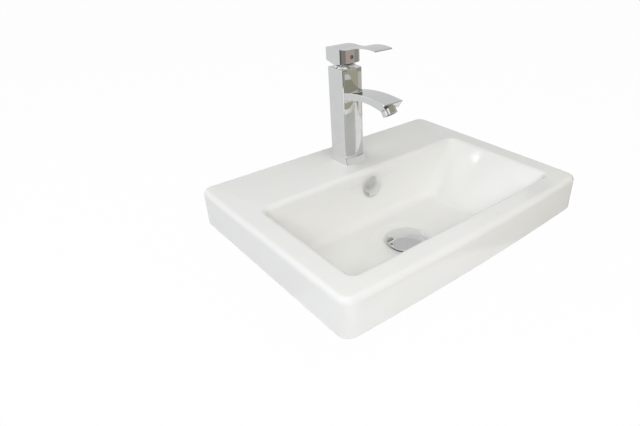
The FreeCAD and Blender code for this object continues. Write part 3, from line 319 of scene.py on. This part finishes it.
@dataclass(frozen=True)
class Finish:
    """One finish: colours, gloss and fine relief."""

    name: str
    colour: Colour
    tint: Colour
    roughness: Pair
    metallic: float = 0.0
    grain: Grain = Grain.POLISHED
    cloud: float = 40.0
    relief: float = 0.00002

    def material(self) -> bpy.types.Material:
        """Makes the material once and returns it on later calls.

        Returns:
            The material of this finish.
        """
        known = bpy.data.materials.get(self.name)
        if known is not None:
            return known
        made = bpy.data.materials.new(self.name)
        self.lay_out(NodeTree(made))
        made.diffuse_color = (*self.colour, 1.0)
        return made

    def lay_out(self, nodes: NodeTree) -> None:
        """Fills the node tree: clouded colour, clouded gloss and the grain.

        Args:
            nodes: The tree to fill.
        """
        nodes.shader.inputs["Metallic"].default_value = self.metallic
        nodes.join(self.clouded(nodes), nodes.shader.inputs["Base Color"])
        nodes.join(self.gloss(nodes), nodes.shader.inputs["Roughness"])
        self.relieve(nodes)

    def clouded(self, nodes: NodeTree) -> Socket:
        """The finish's colour with its tint in soft clouds."""
        share = nodes.ramp(nodes.noise(self.cloud), *COLOUR_CLOUDS)
        return nodes.blend(share, self.colour, self.tint)

    def gloss(self, nodes: NodeTree) -> Socket:
        """The finish's roughness, in finer clouds than its colour."""
        clouds = nodes.noise(self.cloud * GLOSS_FINENESS, GLOSS_DETAIL)
        return nodes.ramp(clouds, *GLOSS_CLOUDS, *self.roughness)

    def relieve(self, nodes: NodeTree) -> None:
        """Adds the relief that the grain asks for.

        Args:
            nodes: The tree to add to.
        """
        drawn = GRAIN_NOISE[self.grain]
        place = nodes.mapped(drawn.stretch) if drawn.stretch else None
        nodes.emboss(nodes.noise(drawn.scale, drawn.detail, place), self.relief)


@dataclass(frozen=True)
class Glaze(Finish):
    """White glaze over the casting, with the bare clay of the foot that sits on the cabinet."""

    clay: Colour = (0.80, 0.77, 0.71)
    clay_roughness: float = 0.75
    foot: float = 0.0025
    foot_fade: float = 0.4
    foot_facing: Pair = (-0.98, -0.93)
    thin: Colour = (0.84, 0.835, 0.81)
    thin_bend: Pair = (0.53, 0.60)
    ior: float = 1.52

    def lay_out(self, nodes: NodeTree) -> None:
        """Fills the tree: glaze that thins over outer bends, bare clay on the flat foot ring.

        Args:
            nodes: The tree to fill.
        """
        height = nodes.axis(nodes.place, "Z")
        facing = nodes.axis(nodes.normal(), "Z")
        inner = self.foot * self.foot_fade
        bare = nodes.product(nodes.ramp(facing, *self.foot_facing, 1.0, 0.0),
                             nodes.ramp(height, inner, self.foot, 1.0, 0.0),
                             nodes.ramp(height, -self.foot, -inner))
        worn = nodes.ramp(nodes.pointiness(), *self.thin_bend)
        glazed = nodes.blend(worn, self.clouded(nodes), self.thin)
        nodes.join(nodes.blend(bare, glazed, self.clay), nodes.shader.inputs["Base Color"])
        chalky = nodes.math("MULTIPLY", bare, self.clay_roughness)
        rough = nodes.math("MAXIMUM", self.gloss(nodes), chalky)
        nodes.join(rough, nodes.shader.inputs["Roughness"])
        nodes.shader.inputs["IOR"].default_value = self.ior
        self.relieve(nodes)


@dataclass(frozen=True)
class Threaded(Finish):
    """A finish with a screw thread over part of its length, about an upright axis."""

    centre: Pair = (0.0, 0.0)
    pitch: float = 0.002
    spread: Pair = (0.0, 0.01)
    least: float = 0.0
    depth: float = 0.0005

    def lay_out(self, nodes: NodeTree) -> None:
        """Fills the tree and winds the thread on the outside of the shank.

        Args:
            nodes: The tree to fill.
        """
        super().lay_out(nodes)
        around = nodes.mapped(shift=(-self.centre[0], -self.centre[1], 0.0))
        across, along, height = (nodes.axis(around, letter) for letter in "XYZ")
        turns = nodes.math("DIVIDE", nodes.math("ARCTAN2", along, across), 2 * math.pi)
        wound = nodes.math("ADD", nodes.math("DIVIDE", height, self.pitch), turns)
        half_turn = 0.5
        ridge = nodes.math("PINGPONG", wound, half_turn)
        low, high = self.spread
        held = nodes.product(
            nodes.math("GREATER_THAN", height, low),
            nodes.math("LESS_THAN", height, high),
            nodes.math("GREATER_THAN", nodes.length(across, along), self.least))
        nodes.emboss(nodes.product(ridge, held), self.depth / half_turn)


@dataclass(frozen=True)
class IndexDot(Finish):
    """Two-colour dot: the warm half on the user's left, the cold half on the right."""

    cold: Colour = (0.16, 0.18, 0.29)
    edge: float = 0.0001

    def clouded(self, nodes: NodeTree) -> Socket:
        """A sharp change of colour in the middle of the dot."""
        share = nodes.ramp(nodes.axis(nodes.place, "X"), -self.edge, self.edge)
        return nodes.blend(share, self.colour, self.cold)


GLAZE = Glaze("white_glaze", (0.885, 0.885, 0.865), (0.870, 0.870, 0.846), (0.05, 0.10),
              grain=Grain.ORANGE_PEEL, cloud=9.0, relief=0.000012)
CHROME = Finish("chrome_plate", (0.800, 0.803, 0.803), (0.780, 0.784, 0.785), (0.02, 0.05), 1.0,
                cloud=60.0, relief=0.000004)
# The cover's chrome is paler than the rest of the chrome: painted light, standing in for the
# brighter reflection that the cover shows.
COVER_CHROME_PAINTED_BRIGHTER = Finish("cover_chrome_painted_brighter", (0.85, 0.855, 0.85), (0.83, 0.835, 0.83), (0.02, 0.05), 1.0,
                      cloud=60.0, relief=0.000004)
BRASS = Finish("turned_brass", (0.72, 0.55, 0.27), (0.64, 0.47, 0.21), (0.22, 0.36), 1.0,
               Grain.TURNED, 120.0, 0.00003)
STEEL = Finish("plain_steel", (0.56, 0.57, 0.58), (0.48, 0.49, 0.50), (0.25, 0.40), 1.0,
               Grain.BRUSHED, 90.0, 0.00002)
RUBBER = Finish("black_rubber", (0.035, 0.035, 0.036), (0.055, 0.055, 0.054), (0.55, 0.75),
                grain=Grain.MOULDED, cloud=150.0, relief=0.00004)
WHITE_PLASTIC = Finish("white_plastic", (0.80, 0.80, 0.78), (0.76, 0.76, 0.73), (0.32, 0.48),
                       grain=Grain.MOULDED, cloud=80.0)
GREY_PLASTIC = Finish("grey_plastic", (0.36, 0.37, 0.39), (0.32, 0.33, 0.35), (0.38, 0.52),
                      grain=Grain.MOULDED, cloud=80.0)
DISC_CERAMIC = Finish("lapped_disc", (0.82, 0.80, 0.74), (0.78, 0.76, 0.70), (0.12, 0.20),
                      cloud=200.0)
INDEX = IndexDot("index_dot", (0.40, 0.17, 0.16), (0.40, 0.17, 0.16), (0.10, 0.20), cloud=300.0)


@dataclass
class SubAssembly:
    """A group of pieces with the finish of each."""

    finishes: dict[str, Finish] = field(default_factory=dict)

    def build(self) -> None:
        """Makes what follows from the group's sizes; a plain group has nothing to make."""

    def dress(self) -> dict[str, str]:
        """Gives every node of the group its material.

        Returns:
            The name of each piece's finish.
        """
        for node, finish in self.finishes.items():
            slots = frame["nodes"][node].data.materials
            slots.clear()
            slots.append(finish.material())
        return {node: finish.name for node, finish in self.finishes.items()}


@dataclass
class Basin(SubAssembly):
    """The glazed casting."""

    finishes: dict[str, Finish] = field(default_factory=lambda: {"ceramic_basin": GLAZE})


@dataclass
class Overflow(SubAssembly):
    """Sleeve and domed cover in the bowl's back wall."""

    finishes: dict[str, Finish] = field(default_factory=lambda: {
        "overflow_sleeve": WHITE_PLASTIC, "overflow_cover": COVER_CHROME_PAINTED_BRIGHTER})


@dataclass
class ClickWaste(SubAssembly):
    """Tail, seals, back nut, cap and click mechanism."""

    finishes: dict[str, Finish] = field(default_factory=lambda: {
        "waste_top_seal": RUBBER, "waste_under_seal": RUBBER, "waste_slip_washer": WHITE_PLASTIC,
        "waste_backnut": BRASS, "waste_cap": CHROME, "waste_cap_seal": RUBBER,
        "waste_plunger": BRASS, "waste_click_guide": WHITE_PLASTIC, "waste_click_spring": STEEL})
    thread_pitch: float = 0.002309
    thread_depth: float = 0.0007
    thread_margin: float = 0.0003
    tail_radius: float = 0.02095
    plain_end: float = 0.004

    def build(self) -> None:
        """Winds the trap thread on the tail, from its foot up to the basin."""
        low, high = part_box("waste_body")
        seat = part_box("waste_under_seal")[1][2]
        self.finishes["waste_body"] = Threaded(
            "threaded_tail_chrome", CHROME.colour, CHROME.tint, CHROME.roughness, CHROME.metallic,
            cloud=CHROME.cloud, relief=CHROME.relief, centre=plan_centre(low, high),
            pitch=self.thread_pitch, spread=(low[2] + self.plain_end, seat),
            least=self.tail_radius - self.thread_margin, depth=self.thread_depth)


@dataclass
class Column:
    """Column and spout; its sides run straight down to the plinth, where the solid is rounded."""

    node: str = "mixer_body"
    name: str = "mixer_column"
    slot: str = "chrome"
    foot_round: float = 0.006
    underside: float = -0.9999
    finish: Finish = CHROME

    def build(self) -> None:
        """Makes the piece from the solid's mesh and shading, and puts it in the solid's place."""
        solid = frame["nodes"][self.node]
        shape = bmesh.new()
        shape.from_mesh(solid.data)
        facing = shape.loops.layers.float_vector.new(FACING)
        for face in shape.faces:
            for loop in face.loops:
                loop[facing] = solid.data.corner_normals[loop.index].vector
        bmesh.ops.remove_doubles(shape, verts=shape.verts, dist=WELD)
        self.straighten(shape, facing)
        mesh = bpy.data.meshes.new(self.name)
        shape.to_mesh(mesh)
        shape.free()
        kept = [tuple(corner.vector) for corner in mesh.attributes[FACING].data]
        mesh.attributes.remove(mesh.attributes[FACING])
        mesh.normals_split_custom_set(kept)
        mesh.materials.append(self.finish.material())
        piece = placed(self.name, mesh)
        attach(piece, solid["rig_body"])
        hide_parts(self.node)

    def straighten(self, shape: bmesh.types.BMesh, facing: bmesh.types.BMLayerItem) -> None:
        """Swaps the rounded foot for upright walls and a flat underside.

        Args:
            shape: The mesh to change.
            facing: The layer with each corner's direction.
        """
        low = min(vert.co.z for vert in shape.verts)
        top = low + self.foot_round
        foot = [face for face in shape.faces if face.normal.z > self.underside
                and all(vert.co.z < top + NEAR for vert in face.verts)]
        bmesh.ops.delete(shape, geom=foot, context="FACES")
        rim = borders(shape)
        upper = [edge for edge in rim if all(vert.co.z > top - NEAR for vert in edge.verts)]
        sides = {tuple(vert.co.xy): vert.link_loops[0][facing].copy()
                 for edge in upper for vert in edge.verts}
        open_edges = [edge for edge in rim if edge not in upper]
        for part in bmesh.ops.extrude_edge_only(shape, edges=upper)["geom"]:
            if isinstance(part, bmesh.types.BMVert):
                part.co.z = low
            elif isinstance(part, bmesh.types.BMFace):
                part.smooth = True
                for loop in part.loops:
                    loop[facing] = sides[tuple(loop.vert.co.xy)]
        open_edges += [edge for edge in borders(shape) if edge not in open_edges]
        under = bmesh.ops.triangle_fill(shape, edges=open_edges, use_beauty=True, normal=DOWN)
        for face in (part for part in under["geom"] if isinstance(part, bmesh.types.BMFace)):
            face.smooth = True
            for loop in face.loops:
                loop[facing] = DOWN
        bmesh.ops.recalc_face_normals(shape, faces=shape.faces)


@dataclass
class Mixer(SubAssembly):
    """Plinth, column with spout, outlet ring and the fixing under the deck."""

    finishes: dict[str, Finish] = field(default_factory=lambda: {
        "mixer_plinth": CHROME, "mixer_collar": CHROME, "mixer_base_seal": RUBBER,
        "mixer_clamp_pad": RUBBER, "mixer_clamp_plate": STEEL, "mixer_fixing_nut": BRASS,
        "aerator_housing": CHROME, "aerator_insert": GREY_PLASTIC, "aerator_seal": RUBBER})
    stud_pitch: float = 0.00125
    stud_depth: float = 0.0005
    stud_relief: float = 0.00001
    stud_core: float = 0.45
    column: Column = field(default_factory=Column)

    def build(self) -> None:
        """Makes the column and winds the thread on the fixing stud."""
        self.column.build()
        low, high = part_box("mixer_fixing_stud")
        self.finishes["mixer_fixing_stud"] = Threaded(
            "threaded_stud_brass", BRASS.colour, BRASS.tint, BRASS.roughness, BRASS.metallic,
            cloud=BRASS.cloud, relief=self.stud_relief, centre=plan_centre(low, high),
            pitch=self.stud_pitch, spread=(low[2] + self.stud_pitch, high[2]),
            least=(high[0] - low[0]) * self.stud_core, depth=self.stud_depth)

    def dress(self) -> dict[str, str]:
        """Dresses the nodes and names the column, which is dressed already, with them."""
        return {self.column.name: self.column.finish.name, **super().dress()}


@dataclass
class Cartridge(SubAssembly):
    """Ceramic-disc cartridge inside the column."""

    finishes: dict[str, Finish] = field(default_factory=lambda: {
        "cartridge_gasket": RUBBER, "cartridge_base": GREY_PLASTIC,
        "cartridge_shell": GREY_PLASTIC, "cartridge_fixed_disc": DISC_CERAMIC,
        "cartridge_moving_disc": DISC_CERAMIC, "cartridge_carrier": WHITE_PLASTIC,
        "cartridge_turn_guide": GREY_PLASTIC, "cartridge_pin": STEEL,
        "cartridge_spindle": BRASS, "cartridge_nut": BRASS})


@dataclass
class Lever(SubAssembly):
    """Lever with its grub screw and index dot."""

    finishes: dict[str, Finish] = field(default_factory=lambda: {
        "lever_handle": CHROME, "lever_grub_screw": STEEL, "lever_index_plug": INDEX})


@dataclass(frozen=True)
class Lamp:
    """One soft area lamp, aimed at the basin's top unless it says otherwise."""

    name: str
    spot: Point
    size: Pair
    watts: float
    colour: Colour = (1.0, 1.0, 1.0)
    aim: Point = (0.0, 0.0, 0.03)
    mirrored: bool = False

    def light(self) -> None:
        """Adds the lamp to the scene; mirrors show it only where it says so."""
        data = bpy.data.lights.new(self.name, "AREA")
        data.shape = "RECTANGLE"
        data.size, data.size_y = self.size
        data.energy = self.watts
        data.color = self.colour
        lamp = placed(self.name, data)
        lamp.location = self.spot
        ahead = Vector(self.aim) - Vector(self.spot)
        lamp.rotation_euler = ahead.to_track_quat("-Z", "Y").to_euler()
        lamp.visible_glossy = self.mirrored


@dataclass(frozen=True)
class Screen:
    """A bent glowing strip that only mirrors see, like a photographer's card for chrome: a painted
    reflection that no lamp lights.

    The arc is in degrees from the front towards the right, and each edge is a radius and a height.
    """

    name: str
    arc: Pair
    low: Pair
    high: Pair
    tone: Colour
    middle: Pair = (0.0, 0.1)
    steps: int = 16

    def stand(self) -> None:
        """Adds the strip to the scene."""
        mesh = bpy.data.meshes.new(self.name)
        quads = [(i, i + 2, i + 3, i + 1) for i in range(0, 2 * self.steps, 2)]
        mesh.from_pydata(self.spots(), [], quads)
        screen = placed(self.name, mesh)
        material = bpy.data.materials.new(self.name)
        nodes = NodeTree(material)
        # Painted reflection: the strip glows with its own tone, lights nothing, and only mirrors
        # see it.
        tone = nodes.add("ShaderNodeEmission")
        tone.inputs["Color"].default_value = (*self.tone, 1.0)
        nodes.join(tone.outputs["Emission"], nodes.output.inputs["Surface"])
        mesh.materials.append(material)
        screen.visible_camera = screen.visible_diffuse = False
        screen.visible_shadow = screen.visible_transmission = False

    def spots(self) -> list[Point]:
        """Points along the strip, on its low and high edge by turns.

        Returns:
            The points, from the start of the arc to its end.
        """
        first, last = self.arc
        found = []
        for step in range(self.steps + 1):
            turn = math.radians(first + (last - first) * step / self.steps)
            for radius, height in (self.low, self.high):
                found.append((self.middle[0] + radius * math.sin(turn),
                              self.middle[1] - radius * math.cos(turn), height))
        return found


# Tones that more than one screen has, and the height of the mats: glowing sheets by the floor that
# only mirrors see, painted reflections of a floor.
PALE: Colour = (0.72, 0.72, 0.70)
SHADE: Colour = (0.17, 0.165, 0.145)
OLIVE: Colour = (0.36, 0.35, 0.28)
MAT_Z = -0.115


@dataclass
class Studio:
    """White floor and surroundings, soft lamps, glowing screens that paint reflections in the
    chrome, and the camera.
    """

    floor_z: float = -0.1175
    floor_half: float = 6.0
    floor_white: float = 0.98
    floor_paper: Colour = (0.88, 0.88, 0.88)
    floor_roughness: float = 0.9
    surround: float = 0.11
    camera_spot: Point = (-0.51204, -0.54594, 0.4412)
    camera_right: Point = (0.74553, -0.66647, 0.00303)
    camera_down: Point = (-0.33652, -0.38035, -0.86144)
    camera_ahead: Point = (0.57528, 0.64121, -0.50784)
    lens: float = 28.69
    sensor: float = 36.0
    shift: float = -0.1
    lamps: Sequence[Lamp] = (
        Lamp("key_lamp", (-1.1, -0.9, 1.0), (1.0, 1.0), 11.6, (0.985, 1.0, 1.05)),
        Lamp("front_lamp", (0.1, -1.1, 1.2), (1.2, 1.0), 11.6, (1.025, 1.0, 0.95)),
        Lamp("left_lamp", (-1.4, 0.8, 0.6), (1.0, 0.8), 6.1, (1.0, 1.0, 1.05)),
        Lamp("back_lamp", (-0.3, 0.8, 1.4), (1.0, 1.0), 6.5, (0.99, 1.0, 0.985)),
        Lamp("glint_lamp", (-1.39, 1.3625, 1.395), (0.022, 0.025), 0.045,
             aim=(0.202, -0.010, 0.045), mirrored=True),
    )
    screens: Sequence[Screen] = (
        Screen("screen_dark", (-80, -12), (1.0, -0.1), (1.0, 0.20), (0.11, 0.11, 0.105)),
        Screen("screen_dusk", (-80, -12), (1.0, 0.20), (1.0, 0.62), (0.40, 0.40, 0.39)),
        Screen("screen_dark_brown", (-12, 8), (1.0, -0.045), (1.0, 0.24), (0.235, 0.225, 0.20)),
        Screen("screen_brown", (8, 54), (1.0, -0.045), (1.0, 0.24), (0.43, 0.38, 0.338)),
        Screen("screen_warm_grey", (54, 84), (1.0, -0.045), (1.0, 0.24), (0.30, 0.29, 0.265)),
        Screen("screen_pale", (-12, 84), (1.0, 0.24), (1.0, 0.545), PALE),
        # The next three strips paint a dark reflection at the spout's root and a pale one on the
        # plinth's corner.
        Screen("screen_shade", (14, 44), (0.99, 0.24), (0.99, 0.33), SHADE),
        Screen("screen_shade_right", (44, 84), (0.5, 0.228), (0.5, 0.30), SHADE),
        Screen("screen_pale_right", (60, 78), (0.2, 0.080), (0.2, 0.108), PALE),
        Screen("screen_olive", (-12, 84), (1.0, 0.545), (0.95, 1.25), OLIVE),
        Screen("screen_olive_left", (-40, -12), (1.0, 0.62), (0.95, 1.25), OLIVE),
        Screen("screen_back", (95, 178), (1.0, -0.05), (1.0, 0.85), (0.655, 0.66, 0.665)),
        Screen("screen_above", (60, 200), (1.0, 0.85), (0.0, 1.6), (0.57, 0.57, 0.565)),
        Screen("screen_back_left", (-178, -142), (1.0, 0.60), (1.0, 1.10), (0.28, 0.28, 0.28)),
        Screen("mat_left", (-178, -82), (0.3, MAT_Z), (3.5, MAT_Z), (0.73, 0.74, 0.735)),
        Screen("mat_beige", (-15, 60), (0.45, MAT_Z), (1.4, MAT_Z), (0.39, 0.385, 0.30)),
        Screen("mat_sand", (60, 95), (0.45, MAT_Z), (3.5, MAT_Z), (0.55, 0.51, 0.44)),
        Screen("mat_back", (95, 182), (0.3, MAT_Z), (3.5, MAT_Z), (0.58, 0.58, 0.57)),
    )

    def build(self) -> None:
        """Sets up floor, surroundings, screens, lamps, colour handling and camera."""
        self.floor()
        self.surroundings()
        for screen in self.screens:
            screen.stand()
        for lamp in self.lamps:
            lamp.light()
        bpy.context.scene.view_settings.view_transform = "Standard"
        self.camera()

    def seen_white(self, tree: bpy.types.NodeTree) -> Socket:
        """Share of 1 for rays that come from the camera, a mirror or a glass.

        Args:
            tree: The node tree to add to.

        Returns:
            The value socket.
        """
        path = tree.nodes.new("ShaderNodeLightPath")
        total = path.outputs["Is Camera Ray"]
        for name in ("Is Glossy Ray", "Is Transmission Ray"):
            node = tree.nodes.new("ShaderNodeMath")
            node.operation = "MAXIMUM"
            tree.links.new(total, node.inputs[0])
            tree.links.new(path.outputs[name], node.inputs[1])
            total = node.outputs["Value"]
        return total

    def floor(self) -> None:
        """Wide pale floor that keeps a soft shadow under a white look."""
        half = self.floor_half
        corners = [(x, y, self.floor_z)
                   for x, y in ((-half, -half), (half, -half), (half, half), (-half, half))]
        mesh = bpy.data.meshes.new("floor")
        mesh.from_pydata(corners, [], [(0, 1, 2, 3)])
        floor = placed("floor", mesh)
        material = bpy.data.materials.new("floor_paper")
        nodes = NodeTree(material)
        nodes.shader.inputs["Base Color"].default_value = (*self.floor_paper, 1.0)
        nodes.shader.inputs["Roughness"].default_value = self.floor_roughness
        glow, mix = nodes.add("ShaderNodeEmission"), nodes.add("ShaderNodeMixShader")
        share = nodes.math("MULTIPLY", self.seen_white(nodes.tree), self.floor_white)
        nodes.join(share, mix.inputs["Fac"])
        nodes.join(nodes.shader.outputs["BSDF"], mix.inputs[1])
        nodes.join(glow.outputs["Emission"], mix.inputs[2])
        nodes.join(mix.outputs["Shader"], nodes.output.inputs["Surface"])
        mesh.materials.append(material)

    def surroundings(self) -> None:
        """Even light from all sides that looks white to the camera and in the chrome."""
        world = bpy.data.worlds.new("white_room")
        bpy.context.scene.world = world
        world.use_nodes = True
        tree = world.node_tree
        tree.nodes.clear()
        output = tree.nodes.new("ShaderNodeOutputWorld")
        mix = tree.nodes.new("ShaderNodeMixShader")
        even = tree.nodes.new("ShaderNodeBackground")
        white = tree.nodes.new("ShaderNodeBackground")
        for light in (even, white):
            light.inputs["Color"].default_value = (1.0, 1.0, 1.0, 1.0)
        even.inputs["Strength"].default_value = self.surround
        tree.links.new(self.seen_white(tree), mix.inputs["Fac"])
        tree.links.new(even.outputs["Background"], mix.inputs[1])
        tree.links.new(white.outputs["Background"], mix.inputs[2])
        tree.links.new(mix.outputs["Shader"], output.inputs["Surface"])

    def camera(self) -> None:
        """Camera at the photograph's place."""
        data = bpy.data.cameras.new("camera")
        data.sensor_width = self.sensor
        data.sensor_fit = "HORIZONTAL"
        data.lens = self.lens
        data.shift_x = self.shift
        camera = placed("camera", data)
        right, down, ahead = (
            Vector(way) for way in (self.camera_right, self.camera_down, self.camera_ahead))
        turn = Matrix((right, -down, -ahead)).transposed().to_4x4()
        camera.matrix_world = Matrix.Translation(self.camera_spot) @ turn
        bpy.context.scene.camera = camera


def main() -> None:
    """Builds the studio and the groups in order, and reports each piece with its finish."""
    logging.basicConfig(level=logging.INFO, format="%(name)s %(message)s")
    Studio().build()
    for group in (Basin(), Overflow(), ClickWaste(), Mixer(), Cartridge(), Lever()):
        group.build()
        for piece, finish in group.dress().items():
            LOG.info("%s: %s", piece, finish)


if __name__ == "__main__":
    main()
